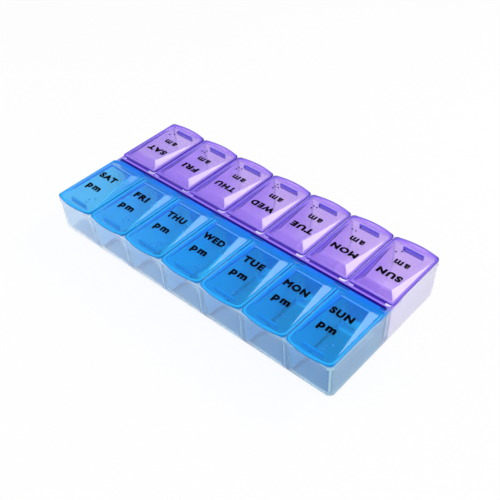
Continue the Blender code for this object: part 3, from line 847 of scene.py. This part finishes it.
# Lamps: the way to them, their distance and size in metres, and their brightness
LAMPS = {
    "facet_lamp": ((0.42, 0.54, 0.73), 1.0, (0.5, 0.5), 5.5),
    "front_lamp": ((-0.51, -0.32, 0.80), 1.0, (0.4, 0.4), 1.2),
    "front_edge_lamp": ((-0.47, -0.68, 0.51), 1.0, (0.4, 0.3), 2.2),
    "fill_lamp": ((0.45, -0.55, 0.85), 1.0, (0.5, 0.5), 2.0),
    "side_lamp": ((-0.75, -0.55, 0.35), 0.6, (0.3, 0.3), 1.5),
}

# Camera: azimuth, elevation and roll in degrees, the lens, and the aim and distance in metres
CAMERA_TURNS = (41.327, 44.409, -1.305)
LENS, SENSOR, LENS_SHIFT, CLIP = 55.79, 36.0, (-0.047, 0.042), (0.01, 20.0)
AIM, CAMERA_DISTANCE = (0.04013, -0.01658, 0.0325), 0.42105


def build_floor():
    """The paper: a wide flat sheet just under the tray's foot, rising far off like a cove.

    Its rise is the square of the distance past the cove's start, per metre.
    """
    line = np.linspace(-PAPER_HALF_WIDTH, PAPER_HALF_WIDTH, PAPER_LINES)
    x, y = np.meshgrid(line, line)
    z = -PAPER_DROP + COVE_RISE * (np.hypot(x, y) - COVE_START).clip(0) ** 2 / 1000
    floor = new_piece("paper_sweep", np.stack([x, y, z], axis=-1).reshape(-1, 3),
                      grid_faces(PAPER_LINES, PAPER_LINES), studio_paper("white seamless paper"))
    if floor.data.polygons[0].normal.z < 0:
        floor.data.flip_normals()


def build_world():
    """Even light from all round, dimmer in gloss; the eye and clear plastic see it as white."""
    world = bpy.data.worlds.new("bright studio")
    bpy.context.scene.world = world
    world.use_nodes = True
    tree = world.node_tree
    tree.nodes.clear()
    rays = add(tree, "ShaderNodeLightPath").outputs
    seen = add(tree, "ShaderNodeMath", {0: rays["Is Camera Ray"], 1: rays["Is Transmission Ray"]},
               operation="MAXIMUM")
    gloss = add(tree, "ShaderNodeMapRange", {
        "Value": rays["Is Glossy Ray"], "To Min": WORLD_LEVEL, "To Max": WORLD_IN_GLOSS})
    level = add(tree, "ShaderNodeMapRange", {
        "Value": seen.outputs["Value"], "To Min": gloss.outputs["Result"], "To Max": 1.0})
    light = add(tree, "ShaderNodeBackground", {
        "Color": linear("#FFFFFF"), "Strength": level.outputs["Result"]})
    add(tree, "ShaderNodeOutputWorld", {"Surface": light.outputs["Background"]})


def softbox(name, direction, distance, size, brightness):
    """A square soft lamp that faces the organizer; its brightness is the radiance of its front."""
    lamp = bpy.data.lights.new(name, "AREA")
    lamp.shape = "RECTANGLE"
    lamp.size, lamp.size_y = size
    lamp.energy = brightness * math.pi * size[0] * size[1]
    thing = bpy.data.objects.new(name, lamp)
    bpy.context.scene.collection.objects.link(thing)
    way = np.array(direction) / np.linalg.norm(direction)
    thing.location = way * distance
    thing.rotation_euler = Vector(-way).to_track_quat("-Z", "Y").to_euler()


def build_camera():
    """The photograph's view: from the front right and above, through a long lens off its axis."""
    azimuth, elevation, roll = np.radians(CAMERA_TURNS)
    level, height = math.cos(elevation), math.sin(elevation)
    back = Vector((math.sin(azimuth) * level, -math.cos(azimuth) * level, height))
    right = Vector((math.cos(azimuth), math.sin(azimuth), 0))
    up = back.cross(right)
    lens = bpy.data.cameras.new("camera")
    lens.lens, lens.sensor_width = LENS, SENSOR
    lens.shift_x, lens.shift_y = LENS_SHIFT
    lens.clip_start, lens.clip_end = CLIP
    camera = bpy.data.objects.new("camera", lens)
    bpy.context.scene.collection.objects.link(camera)
    turned = (math.cos(roll) * right + math.sin(roll) * up,
              math.cos(roll) * up - math.sin(roll) * right, back)
    camera.matrix_world = Matrix(turned).transposed().to_4x4()
    camera.location = Vector(AIM) + back * CAMERA_DISTANCE
    bpy.context.scene.camera = camera


# What thick blue and violet plastic keeps of the light: its colour, and the density per metre
BLUE_DEPTH, VIOLET_DEPTH = ("#00ECFD", 450.0), ("#C850F4", 220.0)

materials = {
    # See-through walls, faintly frosted, with painted light and shade: the lids' blue and lavender
    # light, shade on the evening floor, and highlights on the seams, the corners and the rim
    "tray": polypropylene(
        "injection-moulded clear polypropylene", "#FAFCFE", "#EEF4FA", "#EEF4FC", 0.86, 0.12,
        zones=TRAY_ZONES, steps=TRAY_STEPS, painted_lid_light=True),
    # A bright sky blue with soft gloss, brightened from below by the paper, deeper on edges, with
    # painted shade and highlight on the facets
    "pm": polypropylene(
        "injection-moulded blue polypropylene", "#44D8FF", "#54DCFF", "#6CD4FF", 0.90, 0.06,
        BLUE_DEPTH, BLUE_ZONES, LID_STEPS, sheen=0.25, grain=0.015),
    # A pale lilac with soft gloss, dark on edges, with a painted highlight on the right facets and
    # painted shade on the left ones
    "am": polypropylene(
        "injection-moulded violet polypropylene", "#E2D2FC", "#E8DAFC", "#D0B4FF", 0.90, 0.06,
        VIOLET_DEPTH, VIOLET_ZONES, LID_STEPS, sheen=0.35),
    # The latch bars: plastic deep enough to show through the lids as a darker dash
    "pm_bar": polypropylene(
        "blue polypropylene, thick", "#00AEDC", "#08B0DE", "#6CD0FF", 0.1, 0.35, sheen=0.0),
    "am_bar": polypropylene(
        "violet polypropylene, thick", "#3800D0", "#4004D4", "#B090FF", 0.1, 0.35, sheen=0.0),
    # The reading dots: faint on the blue lids, and on the violet ones painted dark as the small
    # shadows they cast
    "pm_dots": polypropylene(
        "blue polypropylene, raised dots", "#3CB4F4", "#48BCF8", "#6CD0FF", 0.6, 0.2),
    "am_dots": polypropylene(
        "violet polypropylene, raised dots", "#18006C", "#200874", "#B090FF", 0.1, 0.2, sheen=0.1),
    # The webs: stressed plastic, milkier and fuller in colour, the violet ones painted dark over
    # the bend as shade in the hinge groove
    "pm_web": polypropylene(
        "flexed blue polypropylene", "#28A0FF", "#30A8FF", "#6CD0FF", 0.6, 0.2, sheen=0.1),
    "am_web": polypropylene(
        "flexed violet polypropylene", "#B894FF", "#C09CFF", "#D0B4FF", 0.4, 0.2,
        zones=(("off", 1.9, 2.1, "#5A30C0", 0.3),)),
    # The spines: dark lines between the rows with a lighter bead, partly the deep colour of 6 mm of
    # plastic seen down its depth and partly painted shade of the gap between the rows
    "pm_spine": polypropylene(
        "blue polypropylene seen down its depth", "#1890F0", "#2098F4", "#3A46D8", 0.2, 0.2,
        zones=(("up", 30.9, 31.2, "#0C0890", 0.2), ("off", 1.12, 1.25, "#1890F0", 0.2)),
        sheen=0.1),
    "am_spine": polypropylene(
        "violet polypropylene seen down its depth", "#2C0498", "#340CA0", "#D0B4FF", 0.2, 0.2,
        zones=(("off", 0.6, 0.8, "#B894FF", 0.3),), sheen=0.1),
    # The tongues: dense upright blades that darken the hinge end of the lids
    "pm_tongues": polypropylene(
        "blue polypropylene tongue", "#0050FF", "#0858FF", "#6CD0FF", 0.3, 0.2, sheen=0.1),
    "am_tongues": polypropylene(
        "violet polypropylene tongue", "#8A60F0", "#9068F2", "#B090FF", 0.3, 0.2),
    # Dead flat black letters, with no gloss of their own
    "ink": pad_print_ink("pad-printed black ink"),
}

build_tray(materials["tray"])
build_lids(materials)
build_spines(materials)
build_webs(materials)
build_print_and_dots(materials)
build_floor()
build_world()
for lamp_name, values in LAMPS.items():
    softbox(lamp_name, *values)
build_camera()
bpy.context.scene.view_settings.view_transform = "Standard"
